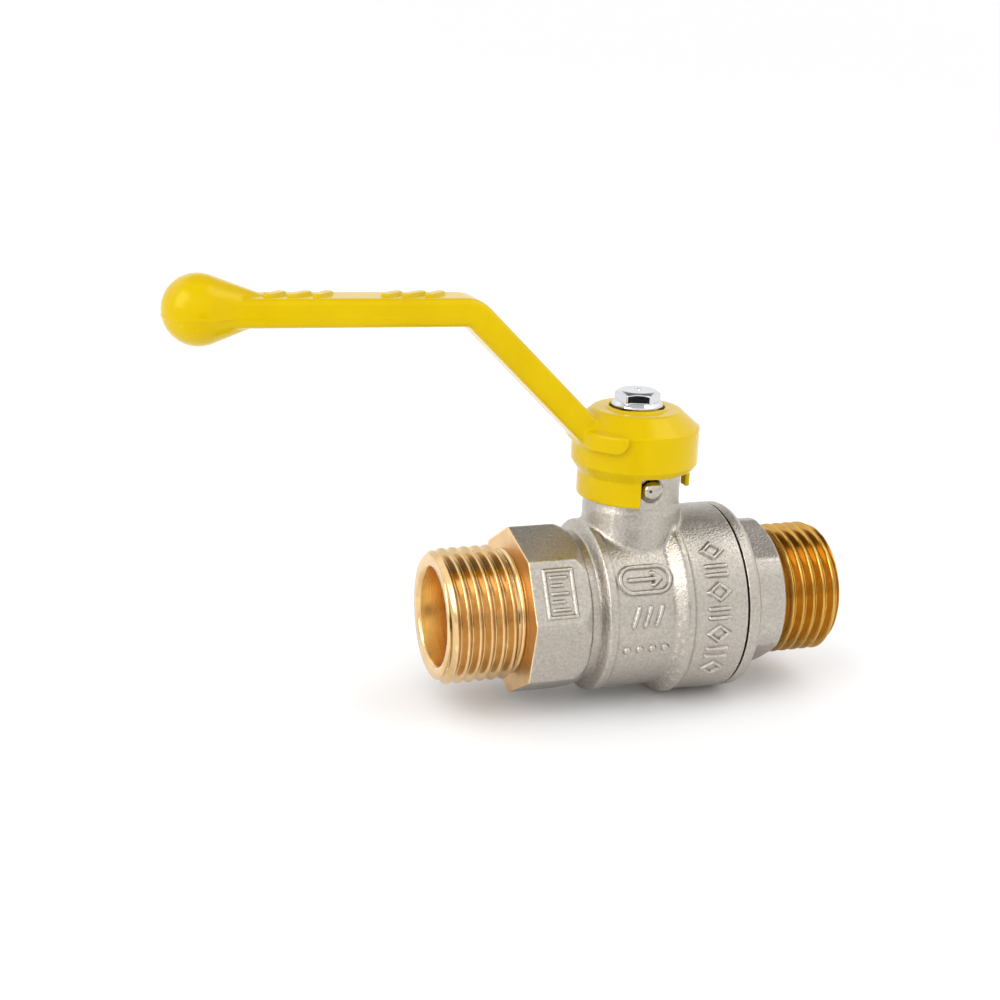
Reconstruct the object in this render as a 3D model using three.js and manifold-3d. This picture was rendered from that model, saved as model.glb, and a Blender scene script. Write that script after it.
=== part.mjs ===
// A half-inch gas ball valve, male thread by male thread, with a cast yellow lever.
// Millimetres, +X along the pipe, +Z up the stem, the ball's centre at the origin.
// The valve stands open: the lever points along -X and the ball's bore lies along X.
import * as THREE from 'three';
import { mergeVertices } from 'three/addons/utils/BufferGeometryUtils.js';
import Module from 'manifold-3d';

const wasm = await Module();
wasm.setup();

// ---------------------------------------------------------------- driving dimensions
const GAP = 0.3;

// G 1/2 pipe thread
const THREAD_MAJOR_R = 20.955 / 2;
const THREAD_MINOR_R = 18.631 / 2;
const THREAD_PITCH = 25.4 / 14;
const THREAD_END_R = 9.65;
const BORE_R = 7.58;

// stations along the pipe
const INLET_FACE_X = -32.2;
const OCTAGON_LEFT_X = -19.8;
const OCTAGON_RIGHT_X = -10.9;
const RELIEF_LEFT_X = -21.4;
const BODY_END_X = 14.35;
const FLANGE_RIGHT_X = 17.2;
const HEX_RIGHT_X = 23.2;
const OUTLET_FACE_X = 33.2;

// body and connector sections
const OCTAGON_FLATS = 24.5;
const OCTAGON_CLOCKING = THREE.MathUtils.degToRad(-7.5);
const BAND_R = 13.4;
const CHAMBER_R = 14.8;
const CAVITY_R = 11.95;
const SPIGOT_BORE_R = 12.9;
const HEX_FLATS = 21.6;
const HEX_CLIP_R = 11.75;
const HEX_CLOCKING = THREE.MathUtils.degToRad(-11.5);

// ball, seats and stem
const BALL_R = 11.5;
const BALL_BORE_R = 7.4;
const SEAT_R = 10.6;
const SEAT_BORE_R = 7.9;
const SEAT_BACK_X = 9.6;
const SEAT_FRONT_X = 6.6;
const TANG_THICK = 4.0;
const TANG_WIDE = 8.0;
const TANG_BOTTOM_Z = 9.3;
const COLLAR_R = 5.2;
const COLLAR_BOTTOM_Z = 11.95;
const COLLAR_TOP_Z = 13.4;
const WASHER_TOP_Z = 14.5;
const STEM_R = 4.0;
const STEM_BORE_R = 4.3;
const O_RING_Z = [17.4, 21.2];
const O_RING_SECTION_R = 0.575;
const STEM_FLATS = 6.0;
const STEM_FLATS_Z = 25.8;
const STEM_TOP_Z = 31.2;

// neck and stop
const NECK_R = 7.65;
const NECK_UPPER_R = 7.35;
const NECK_STEP_Z = 17.5;
const NECK_COLLAR_R = 6.9;
const NECK_TOP_Z = 25.4;
const STOP_Z = 20.5;
const STOP_R = 1.75;
const STOP_TIP_Y = -8.75;

// lever
const HUB_R = 9.85;
const HUB_BOTTOM_Z = 22.9;
const HUB_EDGE_Z = 29.0;
const HUB_TOP_Z = 31.6;
const HUB_TOP_R = 6.9;
const HUB_PAD_R = 4.9;
const HUB_PAD_Z = 31.9;
const HUB_RECESS_R = 7.7;
const HUB_RECESS_Z = 28.0;
const SKIRT_R = 8.75;
const SKIRT_BOTTOM_Z = 17.8;
const WINDOW_FROM = THREE.MathUtils.degToRad(-104.5);
const WINDOW_TO = THREE.MathUtils.degToRad(14.5);
const TAB_R = [8.95, 9.8];
const TAB_SPAN = [THREE.MathUtils.degToRad(-2), THREE.MathUtils.degToRad(9)];
const TAB_BOTTOM_Z = 18.4;
const EAR_R = 10.9;
const EAR_Z = [25.7, 28.3];
const ARM_WIDE = 7.2;
const ARM_THICK = 4.0;
const ARM_ROOT = new THREE.Vector2(-6.2, 26.4);
const ARM_BEND = new THREE.Vector2(-27.6, 47.7);
const KNOB_CENTRE = new THREE.Vector2(-67.3, 48.6);
const KNOB_R = 5.2;
const KNOB_NECK_X = -58.9;

// lever screw
const SCREW_FLANGE_R = 4.0;
const SCREW_SEAT_Z = HUB_PAD_Z + 0.1;
const SCREW_HEX_FLATS = 6.2;
const SCREW_TOP_Z = 34.9;
const SCREW_SHANK_R = 1.9;
const SCREW_TIP_Z = 24.2;

// roundness of the turned surfaces
const COARSE = 20;
const MEDIUM = 26;
const FINE = 36;

// ---------------------------------------------------------------- materials
const material = (name, color, roughness, metalness) =>
  new THREE.MeshStandardMaterial({ name, color, roughness, metalness });
const NICKEL = material('nickel_plated_brass', 0xc8c1b7, 0.38, 1.0);
const NICKEL_CONNECTOR = material('nickel_plated_connector', 0xc2bcb2, 0.36, 1.0);
const CHROME_BALL = material('chromed_ball', 0xdcdde0, 0.08, 1.0);
const STEM_BRASS = material('stem_brass', 0xd3a24a, 0.3, 1.0);
const PTFE = material('ptfe', 0xf1f0ea, 0.5, 0.0);
const RUBBER = material('nitrile_rubber', 0x1c1c1c, 0.75, 0.0);
const YELLOW = material('yellow_paint', 0xeecd00, 0.25, 0.0);
const ZINC = material('zinc_plated_steel', 0xd4d6d8, 0.16, 1.0);

// ---------------------------------------------------------------- solids
// Turns a closed geometry into a manifold solid, whichever way its faces point.
function solid(geometry) {
  const bare = new THREE.BufferGeometry();
  bare.setAttribute('position', geometry.getAttribute('position'));
  bare.setIndex(geometry.getIndex());
  const merged = mergeVertices(bare, 1e-4);
  const place = merged.getAttribute('position').array;
  const corners = [];
  for (let i = 0; i < merged.index.count; i += 3) {
    const [a, b, c] = [0, 1, 2].map((k) => merged.index.getX(i + k));
    if (a !== b && b !== c && c !== a) corners.push(a, b, c);
  }
  if (signedVolume(place, corners) < 0) {
    for (let i = 0; i < corners.length; i += 3) {
      [corners[i + 1], corners[i + 2]] = [corners[i + 2], corners[i + 1]];
    }
  }
  return new wasm.Manifold(new wasm.Mesh({
    numProp: 3,
    vertProperties: Float32Array.from(place),
    triVerts: Uint32Array.from(corners),
  }));
}

function signedVolume(place, corners) {
  const at = (i) => new THREE.Vector3().fromArray(place, 3 * i);
  let volume = 0;
  for (let i = 0; i < corners.length; i += 3) {
    const [a, b, c] = [at(corners[i]), at(corners[i + 1]), at(corners[i + 2])];
    volume += a.dot(b.cross(c)) / 6;
  }
  return volume;
}

function meshOf(name, shape, look) {
  const result = shape.getMesh();
  const geometry = new THREE.BufferGeometry();
  geometry.setAttribute('position', new THREE.BufferAttribute(result.vertProperties, 3));
  geometry.setIndex(new THREE.BufferAttribute(result.triVerts, 1));
  geometry.computeVertexNormals();
  const mesh = new THREE.Mesh(geometry, look);
  mesh.name = name;
  return mesh;
}

// A solid turned about +Z from [radius, height] points; the ends are closed on the axis.
function turnedZ(points, segments = MEDIUM) {
  const outline = points.map(([radius, height]) => new THREE.Vector2(radius, height));
  return solid(new THREE.LatheGeometry(outline, segments).rotateX(Math.PI / 2));
}

// The same about +X, from [x, radius] points.
function turnedX(points, segments = FINE) {
  const outline = points.map(([x, radius]) => new THREE.Vector2(radius, x));
  return solid(new THREE.LatheGeometry(outline, segments).rotateZ(-Math.PI / 2));
}

const rodZ = (radius, bottom, top, segments) =>
  turnedZ([[0, bottom], [radius, bottom], [radius, top], [0, top]], segments);
const rodX = (radius, left, right, segments) =>
  turnedX([[left, 0], [left, radius], [right, radius], [right, 0]], segments);

function block(sizeX, sizeY, sizeZ, x, y, z) {
  return solid(new THREE.BoxGeometry(sizeX, sizeY, sizeZ).translate(x, y, z));
}

// A regular prism along +X; turn swings its first corner from +Z towards -Y.
function prismX(sides, acrossFlats, left, right, turn) {
  const cornerR = acrossFlats / 2 / Math.cos(Math.PI / sides);
  const outline = new THREE.Shape();
  for (let i = 0; i < sides; i += 1) {
    const angle = turn + (2 * Math.PI * i) / sides;
    outline[i ? 'lineTo' : 'moveTo'](-cornerR * Math.sin(angle), cornerR * Math.cos(angle));
  }
  const prism = new THREE.ExtrudeGeometry(outline, { depth: right - left, bevelEnabled: false });
  prism.applyMatrix4(new THREE.Matrix4().makeBasis(
    new THREE.Vector3(0, 1, 0), new THREE.Vector3(0, 0, 1), new THREE.Vector3(1, 0, 0)));
  return solid(prism.translate(left, 0, 0));
}

// A wedge of a circle seen from above, used to cut or keep a span of a ring.
function wedgeZ(from, to, radius, bottom, top) {
  const outline = new THREE.Shape();
  outline.moveTo(0, 0);
  outline.lineTo(radius * Math.cos(from), radius * Math.sin(from));
  outline.absarc(0, 0, radius, from, to, false);
  const wedge = new THREE.ExtrudeGeometry(outline, { depth: top - bottom, bevelEnabled: false });
  return solid(wedge.translate(0, 0, bottom));
}

// A right-hand pipe thread about +X as one helical sheet closed on the axis at both ends.
function threadedRod(left, right) {
  const around = 24;
  const profile = [
    [0.0, THREAD_MAJOR_R], [0.12, THREAD_MAJOR_R], [0.5, THREAD_MINOR_R], [0.62, THREAD_MINOR_R],
  ];
  const rows = profile.length * (Math.ceil((right - left) / THREAD_PITCH) + 3);
  const first = left - 2 * THREAD_PITCH;
  const place = [];
  for (let row = 0; row <= rows; row += 1) {
    const [share, radius] = profile[row % profile.length];
    const along = first + THREAD_PITCH * (Math.floor(row / profile.length) + share);
    for (let i = 0; i < around; i += 1) {
      const angle = (2 * Math.PI * i) / around;
      place.push(along + (THREAD_PITCH * i) / around,
        -radius * Math.sin(angle), radius * Math.cos(angle));
    }
  }
  // the last column meets the first one a full pitch further on
  const index = (row, i) => (i < around ? row * around + i : (row + profile.length) * around);
  const corners = [];
  for (let row = 0; row < rows - profile.length; row += 1) {
    for (let i = 0; i < around; i += 1) {
      const [a, b, c, d] = [index(row, i), index(row, i + 1), index(row + 1, i + 1), index(row + 1, i)];
      corners.push(a, b, c, a, c, d);
    }
  }
  closeHelixEnd(place, corners, index, around, 0, profile.length, 1);
  closeHelixEnd(place, corners, index, around, rows - profile.length, profile.length, -1);
  const sheet = new THREE.BufferGeometry();
  sheet.setAttribute('position', new THREE.Float32BufferAttribute(place, 3));
  sheet.setIndex(corners);
  return solid(sheet);
}

function closeHelixEnd(place, corners, index, around, row, turnRows, side) {
  const loop = [];
  for (let i = 0; i < around; i += 1) loop.push(index(row, i));
  for (let step = turnRows; step > 0; step -= 1) loop.push(index(row + step, 0));
  const centre = place.length / 3;
  place.push(place[3 * index(row, 0)] + THREAD_PITCH / 2, 0, 0);
  loop.forEach((corner, i) => {
    const next = loop[(i + 1) % loop.length];
    corners.push(...(side > 0 ? [centre, next, corner] : [centre, corner, next]));
  });
}

// A male pipe end: thread trimmed by a chamfered envelope.
function maleEnd(left, right, chamferLeft) {
  const depth = THREAD_MAJOR_R - THREAD_END_R;
  const wide = THREAD_MAJOR_R + 1;
  const envelope = chamferLeft
    ? [[left, 0], [left, THREAD_END_R], [left + depth + 1, wide], [right, wide], [right, 0]]
    : [[left, 0], [left, wide], [right - depth - 1, wide], [right, THREAD_END_R], [right, 0]];
  return threadedRod(left, right).intersect(turnedX(envelope));
}

// ---------------------------------------------------------------- body
function bodyOctagon() {
  const prism = prismX(8, OCTAGON_FLATS, OCTAGON_LEFT_X, OCTAGON_RIGHT_X, OCTAGON_CLOCKING);
  const cornerR = OCTAGON_FLATS / 2 / Math.cos(Math.PI / 8);
  return prism.intersect(turnedX([
    [OCTAGON_LEFT_X, 0], [OCTAGON_LEFT_X, cornerR - 0.15], [OCTAGON_LEFT_X + 0.4, cornerR + 0.1],
    [OCTAGON_RIGHT_X - 1.9, cornerR + 0.1], [OCTAGON_RIGHT_X - 0.8, cornerR - 0.35],
    [OCTAGON_RIGHT_X, cornerR - 1.3], [OCTAGON_RIGHT_X, 0],
  ]));
}

function bodyBarrel() {
  return turnedX([
    [RELIEF_LEFT_X, 0], [RELIEF_LEFT_X, THREAD_MINOR_R], [OCTAGON_LEFT_X + 0.6, THREAD_MINOR_R],
    [OCTAGON_LEFT_X + 0.6, 11.5], [-11.4, 11.9], [-9.9, 12.1], [-8.7, 13.0], [-7.4, BAND_R + 0.25],
    [-6.2, BAND_R], [0, BAND_R - 0.1], [2.6, BAND_R + 0.1], [3.8, BAND_R + 0.75], [5.2, CHAMBER_R],
    [BODY_END_X, CHAMBER_R], [BODY_END_X, 0],
  ]);
}

function bodyNeck() {
  return turnedZ([
    [0, 6], [10.4, 6], [10.2, 8.6], [9.5, 10.2], [8.6, 11.8], [8.0, 13.3], [NECK_R, 15],
    [NECK_R, NECK_STEP_Z - 0.3], [NECK_UPPER_R, NECK_STEP_Z], [NECK_UPPER_R, HUB_BOTTOM_Z - 0.4],
    [NECK_COLLAR_R, HUB_BOTTOM_Z], [NECK_COLLAR_R, NECK_TOP_Z - 0.4],
    [NECK_COLLAR_R - 0.4, NECK_TOP_Z], [0, NECK_TOP_Z],
  ], FINE);
}

// The domed button that the lever's skirt runs against.
function stopButton() {
  const root = 5.5;
  const reach = -STOP_TIP_Y;
  return solid(new THREE.LatheGeometry([
    new THREE.Vector2(0, root), new THREE.Vector2(STOP_R, root),
    new THREE.Vector2(STOP_R, reach - 0.75), new THREE.Vector2(STOP_R - 0.35, reach - 0.25),
    new THREE.Vector2(STOP_R - 0.95, reach), new THREE.Vector2(0, reach),
  ], COARSE).rotateZ(Math.PI).translate(0, 0, STOP_Z));
}

function bodyHollows() {
  const seatPocket = SEAT_BACK_X + GAP;
  const way = turnedX([
    [INLET_FACE_X - 1, 0], [INLET_FACE_X - 1, BORE_R + 1.4], [INLET_FACE_X + 0.4, BORE_R],
    [-seatPocket, BORE_R], [-seatPocket, SEAT_R + GAP], [-6.9, SEAT_R + GAP], [-6.9, CAVITY_R],
    [6.9, CAVITY_R], [6.9, SPIGOT_BORE_R], [BODY_END_X + 1, SPIGOT_BORE_R], [BODY_END_X + 1, 0],
  ]);
  const washerPocket = rodZ(COLLAR_R + GAP, 5, WASHER_TOP_Z + GAP);
  return way.add(washerPocket).add(rodZ(STEM_BORE_R, 5, NECK_TOP_Z + 1));
}

function valveBody() {
  const shell = bodyBarrel().add(bodyOctagon()).add(bodyNeck()).add(stopButton())
    .add(maleEnd(INLET_FACE_X, RELIEF_LEFT_X + 0.2, true));
  return meshOf('valve_body', shell.subtract(bodyHollows()), NICKEL);
}

// ---------------------------------------------------------------- end connector
function connectorHex() {
  const left = FLANGE_RIGHT_X - 0.4;
  const prism = prismX(6, HEX_FLATS, left, HEX_RIGHT_X, HEX_CLOCKING);
  return prism.intersect(turnedX([
    [left, 0], [left, HEX_CLIP_R], [HEX_RIGHT_X - 0.7, HEX_CLIP_R],
    [HEX_RIGHT_X, HEX_CLIP_R - 1.0], [HEX_RIGHT_X, 0],
  ]));
}

function endConnector() {
  const spigotR = SPIGOT_BORE_R - GAP;
  const flangeLeft = BODY_END_X + GAP;
  const turned = turnedX([
    [7.2, 0], [7.2, spigotR], [flangeLeft, spigotR], [flangeLeft, CHAMBER_R], [16.1, CHAMBER_R],
    [16.8, CHAMBER_R - 0.4], [FLANGE_RIGHT_X, CHAMBER_R - 1.4], [FLANGE_RIGHT_X, 0],
  ]);
  const way = turnedX([
    [6, 0], [6, SEAT_R + GAP], [SEAT_BACK_X + GAP, SEAT_R + GAP], [SEAT_BACK_X + GAP, BORE_R],
    [OUTLET_FACE_X - 0.4, BORE_R], [OUTLET_FACE_X + 1, BORE_R + 1.4], [OUTLET_FACE_X + 1, 0],
  ]);
  const shell = turned.add(connectorHex()).add(maleEnd(HEX_RIGHT_X - 0.3, OUTLET_FACE_X, false));
  return meshOf('end_connector', shell.subtract(way), NICKEL_CONNECTOR);
}

// ---------------------------------------------------------------- ball and seats
function ball() {
  const sphere = solid(new THREE.SphereGeometry(BALL_R, MEDIUM, 14).rotateX(Math.PI / 2));
  const slotFloor = TANG_BOTTOM_Z - GAP;
  const slot = block(TANG_THICK + 2 * GAP, 3 * BALL_R, BALL_R, 0, 0, slotFloor + BALL_R / 2);
  const shape = sphere.subtract(rodX(BALL_BORE_R, -BALL_R - 1, BALL_R + 1)).subtract(slot);
  return meshOf('ball', shape, CHROME_BALL);
}

// side is -1 for the inlet seat and +1 for the outlet seat
function seatRing(name, side) {
  const ballClear = BALL_R + GAP;
  const lipX = Math.sqrt(ballClear ** 2 - SEAT_BORE_R ** 2);
  const rimR = Math.sqrt(ballClear ** 2 - SEAT_FRONT_X ** 2);
  const outline = [[SEAT_BACK_X, SEAT_BORE_R], [SEAT_BACK_X, SEAT_R], [SEAT_FRONT_X, SEAT_R],
    [SEAT_FRONT_X, rimR]];
  const steps = 4;
  for (let i = 1; i <= steps; i += 1) {
    const radius = rimR + ((SEAT_BORE_R - rimR) * i) / steps;
    outline.push([i === steps ? lipX : Math.sqrt(ballClear ** 2 - radius ** 2), radius]);
  }
  outline.push(outline[0]);
  return meshOf(name, turnedX(outline.map(([x, radius]) => [side * x, radius]), MEDIUM), PTFE);
}

// ---------------------------------------------------------------- stem and its packing
function stem() {
  const groove = O_RING_SECTION_R + 0.45;
  const grooveR = 2.9;
  const outline = [[0, COLLAR_BOTTOM_Z], [COLLAR_R - 0.5, COLLAR_BOTTOM_Z],
    [COLLAR_R, COLLAR_BOTTOM_Z + 0.5], [COLLAR_R, COLLAR_TOP_Z], [STEM_R, COLLAR_TOP_Z]];
  O_RING_Z.forEach((z) => outline.push(
    [STEM_R, z - groove], [grooveR, z - groove], [grooveR, z + groove], [STEM_R, z + groove]));
  outline.push([STEM_R, STEM_TOP_Z - 0.5], [STEM_R - 0.5, STEM_TOP_Z], [0, STEM_TOP_Z]);
  const beyond = 4;
  const cut = (side) => block(10, beyond, 10, 0, side * (STEM_FLATS / 2 + beyond / 2),
    STEM_FLATS_Z + 5);
  const tangHigh = COLLAR_BOTTOM_Z - TANG_BOTTOM_Z + 0.5;
  const tang = block(TANG_THICK, TANG_WIDE, tangHigh, 0, 0, TANG_BOTTOM_Z + tangHigh / 2);
  const screwHole = rodZ(SCREW_SHANK_R + GAP, SCREW_TIP_Z - 0.7, STEM_TOP_Z + 1, COARSE);
  const shape = turnedZ(outline).add(tang).subtract(cut(1)).subtract(cut(-1)).subtract(screwHole);
  return meshOf('stem', shape, STEM_BRASS);
}

function thrustWasher() {
  const [bottom, top] = [COLLAR_TOP_Z + GAP, WASHER_TOP_Z];
  const shape = turnedZ([[STEM_R + GAP, bottom], [COLLAR_R, bottom], [COLLAR_R, top],
    [STEM_R + GAP, top], [STEM_R + GAP, bottom]]);
  return meshOf('stem_thrust_washer', shape, PTFE);
}

function oRing(name, z) {
  const ring = new THREE.TorusGeometry(3.6, O_RING_SECTION_R, 6, MEDIUM).translate(0, 0, z);
  return meshOf(name, solid(ring), RUBBER);
}

// ---------------------------------------------------------------- lever
function leverHub() {
  const outer = turnedZ([
    [0, HUB_BOTTOM_Z - 1.2], [SKIRT_R, HUB_BOTTOM_Z - 1.2], [HUB_R - 0.4, HUB_BOTTOM_Z],
    [HUB_R, HUB_BOTTOM_Z + 0.6], [HUB_R, HUB_EDGE_Z], [HUB_TOP_R, HUB_TOP_Z - 0.1],
    [HUB_TOP_R - 0.5, HUB_TOP_Z], [HUB_PAD_R, HUB_TOP_Z], [HUB_PAD_R - 0.3, HUB_PAD_Z],
    [0, HUB_PAD_Z],
  ], FINE);
  const skirtEdge = 0.5;
  const skirt = turnedZ([
    [0, SKIRT_BOTTOM_Z], [SKIRT_R - skirtEdge, SKIRT_BOTTOM_Z],
    [SKIRT_R, SKIRT_BOTTOM_Z + skirtEdge], [SKIRT_R, HUB_BOTTOM_Z], [0, HUB_BOTTOM_Z],
  ], FINE);
  const window = wedgeZ(WINDOW_FROM, WINDOW_TO, 14, SKIRT_BOTTOM_Z - 1, HUB_BOTTOM_Z - 0.6);
  return outer.add(skirt).subtract(window).add(skirtTab());
}

// The narrow lug that hangs from the hub's rim outside the skirt's circle.
function skirtTab() {
  const [inner, outer] = TAB_R;
  const ring = turnedZ([[inner, TAB_BOTTOM_Z], [outer, TAB_BOTTOM_Z], [outer, HUB_BOTTOM_Z + 1.5],
    [inner, HUB_BOTTOM_Z + 1.5], [inner, TAB_BOTTOM_Z]], FINE);
  return ring.intersect(wedgeZ(TAB_SPAN[0], TAB_SPAN[1], 14, TAB_BOTTOM_Z - 1, HUB_BOTTOM_Z + 3));
}

// The horizontal wings that spread the arm's root into the hub.
function leverEars() {
  const disc = rodZ(EAR_R, EAR_Z[0], EAR_Z[1], FINE);
  return disc.intersect(block(10, 18.4, 6, -7.2, 0, 27));
}

// The arm's side view: up from the hub, round the bend, along the bar into the knob's neck.
function leverArm() {
  const rise = ARM_BEND.clone().sub(ARM_ROOT).normalize();
  const bar = KNOB_CENTRE.clone().sub(ARM_BEND).normalize();
  const half = ARM_THICK / 2;
  const side = (direction, sign) => new THREE.Vector2(direction.y, -direction.x)
    .multiplyScalar(sign * half);
  const corner = rise.clone().sub(bar).normalize().multiplyScalar(
    half / Math.cos(rise.angleTo(bar) / 2));
  const barEnd = ARM_BEND.clone().add(bar.clone().multiplyScalar(ARM_BEND.x - KNOB_NECK_X + 3));
  const outline = new THREE.Shape([
    ARM_ROOT.clone().add(side(rise, 1)),
    ARM_BEND.clone().add(corner).sub(rise.clone().multiplyScalar(1.2)),
    ARM_BEND.clone().add(corner).add(bar.clone().multiplyScalar(1.2)),
    barEnd.clone().add(side(bar, 1)),
    barEnd.clone().add(side(bar, -1)),
    ARM_BEND.clone().sub(corner),
    ARM_ROOT.clone().add(side(rise, -1)),
  ]);
  const round = 0.7;
  const slab = new THREE.ExtrudeGeometry(outline, {
    depth: ARM_WIDE - 2 * round, bevelThickness: round, bevelSize: round, bevelOffset: -round,
    bevelSegments: 2,
  });
  return solid(slab.translate(0, 0, round - ARM_WIDE / 2).rotateX(Math.PI / 2));
}

// A teardrop: a ball end with a cone that runs into the bar.
function leverKnob() {
  const length = KNOB_NECK_X - KNOB_CENTRE.x;
  const touch = Math.acos(0.35);   // where the cone leaves the ball end
  const outline = [];
  const steps = 9;
  for (let i = 0; i <= steps; i += 1) {
    const angle = Math.PI - ((Math.PI - touch) * i) / steps;
    outline.push([KNOB_R * Math.cos(angle), KNOB_R * Math.sin(angle)]);
  }
  outline.push([length, 2.0], [length + 1, 0]);
  return turnedX(outline, MEDIUM).translate([KNOB_CENTRE.x, 0, KNOB_CENTRE.y]);
}

function lever() {
  const underside = rodZ(HUB_RECESS_R, SKIRT_BOTTOM_Z - 1, HUB_RECESS_Z, FINE);
  const hole = rodZ(STEM_R + GAP, HUB_RECESS_Z - 1, HUB_PAD_Z + 1)
    .intersect(block(12, STEM_FLATS + 2 * GAP, 12, 0, 0, HUB_RECESS_Z));
  const shape = leverHub().add(leverEars()).add(leverArm()).add(leverKnob())
    .subtract(underside).subtract(hole);
  return meshOf('lever', shape, YELLOW);
}

// ---------------------------------------------------------------- lever screw
function leverScrew() {
  const hexBottom = SCREW_SEAT_Z + 0.75;
  const hexCorner = SCREW_HEX_FLATS / 2 / Math.cos(Math.PI / 6);
  const flange = turnedZ([
    [0, SCREW_TIP_Z], [SCREW_SHANK_R - 0.5, SCREW_TIP_Z], [SCREW_SHANK_R, SCREW_TIP_Z + 0.5],
    [SCREW_SHANK_R, SCREW_SEAT_Z], [SCREW_FLANGE_R, SCREW_SEAT_Z],
    [SCREW_FLANGE_R, SCREW_SEAT_Z + 0.35], [hexCorner, hexBottom + 0.1], [0, hexBottom + 0.1],
  ], MEDIUM);
  const hex = prismX(6, SCREW_HEX_FLATS, hexBottom, SCREW_TOP_Z, 0)
    .rotate([0, -90, 0]).rotate([0, 0, 66]);
  const chamfer = turnedZ([
    [0, hexBottom - 1], [hexCorner + 0.2, hexBottom - 1], [hexCorner + 0.2, SCREW_TOP_Z - 0.55],
    [hexCorner - 0.65, SCREW_TOP_Z], [0.6, SCREW_TOP_Z], [0.2, SCREW_TOP_Z - 0.4],
    [0, SCREW_TOP_Z - 0.4],
  ], MEDIUM);
  return meshOf('lever_screw', flange.add(hex.intersect(chamfer)), ZINC);
}

// ---------------------------------------------------------------- assembly
const valve = new THREE.Group();
valve.add(
  valveBody(),
  endConnector(),
  ball(),
  seatRing('seat_ring_inlet', -1),
  seatRing('seat_ring_outlet', 1),
  stem(),
  thrustWasher(),
  oRing('stem_o_ring_lower', O_RING_Z[0]),
  oRing('stem_o_ring_upper', O_RING_Z[1]),
  lever(),
  leverScrew(),
);

export default valve;
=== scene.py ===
"""A half-inch gas ball valve on a pale studio floor, finished in Blender over its CAD frame."""
import math

import bpy
import numpy as np
from mathutils import Matrix, Vector


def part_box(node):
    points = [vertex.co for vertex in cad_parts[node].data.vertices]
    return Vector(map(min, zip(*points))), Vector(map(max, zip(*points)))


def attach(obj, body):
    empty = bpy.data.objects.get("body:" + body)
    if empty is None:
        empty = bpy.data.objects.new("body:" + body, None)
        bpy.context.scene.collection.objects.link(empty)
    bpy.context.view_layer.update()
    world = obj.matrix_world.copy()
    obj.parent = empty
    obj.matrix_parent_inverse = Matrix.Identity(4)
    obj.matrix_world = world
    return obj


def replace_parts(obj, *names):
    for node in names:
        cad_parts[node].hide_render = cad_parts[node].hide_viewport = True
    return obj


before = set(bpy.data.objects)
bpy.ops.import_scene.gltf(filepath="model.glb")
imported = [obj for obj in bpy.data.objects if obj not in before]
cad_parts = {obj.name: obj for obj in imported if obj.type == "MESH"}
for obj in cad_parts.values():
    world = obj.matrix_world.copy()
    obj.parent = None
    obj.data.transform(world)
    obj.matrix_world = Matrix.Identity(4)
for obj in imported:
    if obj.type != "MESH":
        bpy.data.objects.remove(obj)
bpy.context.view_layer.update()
MM = 0.001


# ------------------------------------------------------------------ sizes, in millimetres
def box_mm(node):
    low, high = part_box(node)
    return [value / MM for value in low], [value / MM for value in high]


body_low, body_high = box_mm("valve_body")
link_high = box_mm("end_connector")[1]
lever_low, lever_high = box_mm("lever")
screw_low, screw_high = box_mm("lever_screw")

INLET_X = body_low[0]
BODY_END_X = body_high[0]
CHAMBER_R = body_high[1]
NECK_TOP_Z = body_high[2]
OUTLET_X = link_high[0]
SKIRT_BOTTOM_Z = lever_low[2]
HUB_R = lever_high[0]
KNOB_TIP_X = lever_low[0]
SCREW_TOP_Z = screw_high[2]
SCREW_R = screw_high[1]
SCREW_BOTTOM_Z = screw_low[2]

THREAD_MAJOR_R = 20.955 / 2
THREAD_MINOR_R = 18.631 / 2
THREAD_PITCH = 25.4 / 14
THREAD_RELIEF_R = 9.35
THREAD_ROW_GAP = 0.06
THREAD_SIDES = 200
BORE_R = 7.58
PASSAGE_R = 8.7
SEAT_R = 10.9
SEAT_BACK_X = 9.9
SEAT_FRONT_X = 6.9
BALL_SPACE_R = 11.95
SPIGOT_SPACE_R = 12.9
SPIGOT_R = 12.6
SPIGOT_LEFT_X = 7.2

OCTAGON_LEFT_X = -19.8
OCTAGON_RIGHT_X = -10.4
OCTAGON_HALF = 12.25
OCTAGON_CORNER_R = 13.35
OCTAGON_CHAMFER_X = -12.6
OCTAGON_TURN = math.radians(-7.5)
BARREL_R = 11.7
BEAD_RISE = 1.87
BEAD_DROP = 0.22
BAND_R = 13.35
FLANGE_RIGHT_X = 17.2
HEX_RIGHT_X = 23.2
HEX_HALF = 10.8
HEX_CLIP_R = 11.75
HEX_TURN = math.radians(-7.5)

NECK_R = 7.65
NECK_UPPER_R = 7.35
NECK_STEP_Z = 17.5
STEM_BORE_R = 4.3
STOP_Z = 20.3
STOP_R = 1.9
STOP_TIP = 8.75
RUBBED_DEPTH = 1.55
RUBBED_LOW_Z = 18.6

HUB_BOTTOM_Z = 22.9
HUB_EDGE_Z = 29.0
HUB_TOP_Z = 31.6
PAD_Z = 31.9
SKIRT_R = 8.75
RECESS_R = 7.7
RECESS_Z = 28.0
EAR_R = 10.9
EAR_X = (-10.1, -4.9)
EAR_LOW_Z = 26.5
EAR_TOP_Z = 29.3
EAR_HALF_Y = 9.7
LUG_R = (8.95, 9.75)
LUG_BOTTOM_Z = 18.4
STEM_HOLE_R = 4.3
STEM_FLAT_HALF = 3.3
KNOB_R = 5.2
KNOB = (KNOB_TIP_X + KNOB_R, 48.6)
ARM_ROOT = (-6.2, 26.4)
ARM_BEND = (-27.6, 47.7)
ARM_BEND_REACH = 1.4
ARM_HALF_UPPER = 2.2
ARM_HALF_LOWER = 2.0
ARM_HALF_Y = 3.65
ARM_EDGE_R = 0.95

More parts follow.
